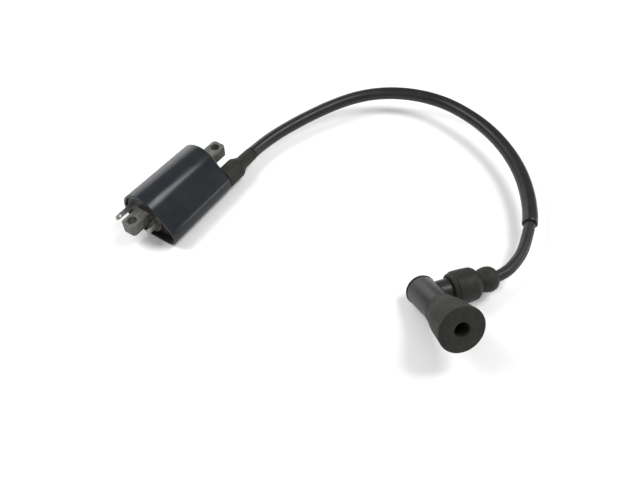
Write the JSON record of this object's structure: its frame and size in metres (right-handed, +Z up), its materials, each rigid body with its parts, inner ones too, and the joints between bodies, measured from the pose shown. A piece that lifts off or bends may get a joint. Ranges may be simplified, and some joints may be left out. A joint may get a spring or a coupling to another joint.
{
  "type": "small engine ignition coil",
  "caption": "Small engine ignition coil: moulded canister on a laminated iron bar with lugs, sleeved high-tension lead and right-angle plug cap.",
  "frame": {"origin": "middle of the coil's footprint, at the level of the surface that it lies on, measured without the lead and plug cap", "axes": "+X along the iron core from the blade terminals to the lead's end, +Y away from the lead tower, +Z up"},
  "size_m": [0.2262, 0.2367, 0.0457],
  "materials": {
    "case_plastic": "glossy moulded nylon, blue-black",
    "bobbin_plastic": "moulded, satin",
    "potting_resin": "cast epoxy, brown-black, slightly uneven",
    "core_iron": "punched silicon steel sheet, satin",
    "enamelled_copper": "enamelled copper wire, glossy",
    "bare_copper": "stranded copper",
    "tinned_brass": "tin plated, satin bright",
    "brass": "turned brass",
    "spring_steel": "bright wire",
    "lead_jacket": "satin vinyl jacket",
    "sleeve_vinyl": "smooth vinyl sleeve, soft gloss",
    "boot_rubber": "moulded rubber, matte, a little dusty",
    "phenolic": "moulded phenolic, semi-gloss",
    "ceramic": "unglazed ceramic"
  },
  "bodies": {
    "coil": {"coil_case": "case_plastic", "primary_bobbin": "bobbin_plastic", "secondary_bobbin": "bobbin_plastic", "primary_winding": "enamelled_copper", "potting_resin": "potting_resin", "tower_resin": "potting_resin", "blade_terminal_left": "tinned_brass", "blade_terminal_right": "tinned_brass", "primary_link_left": "enamelled_copper", "primary_link_right": "enamelled_copper", "ht_link": "enamelled_copper", "ht_contact": "brass", "ht_lead": "lead_jacket", "lead_conductor": "bare_copper", "lead_sleeve": "sleeve_vinyl", "tower_boot": "boot_rubber", "secondary_winding_1": "enamelled_copper", "secondary_winding_2": "enamelled_copper", "secondary_winding_3": "enamelled_copper", "secondary_winding_4": "enamelled_copper", "secondary_winding_5": "enamelled_copper", "secondary_winding_6": "enamelled_copper", "core_sheet_1": "core_iron", "core_sheet_2": "core_iron", "core_sheet_3": "core_iron", "core_sheet_4": "core_iron", "core_sheet_5": "core_iron", "core_sheet_6": "core_iron", "core_sheet_7": "core_iron", "core_sheet_8": "core_iron"},
    "plug_cap": {"cap_body": "phenolic", "cap_closure": "phenolic", "cap_resistor": "ceramic", "contact_spring": "spring_steel", "plug_terminal": "brass", "snap_ring": "spring_steel", "lead_screw": "brass", "plug_boot": "boot_rubber", "lead_boot": "boot_rubber"}
  },
  "joints": [
    {"name": "cap_swivel", "type": "hinge", "parent": "coil", "child": "plug_cap", "pos_m": [0.00795, -0.1759, 0.01285], "axis": [-0.7826, 0.6225, 0], "range_deg": [-24, 120]}
  ]
}
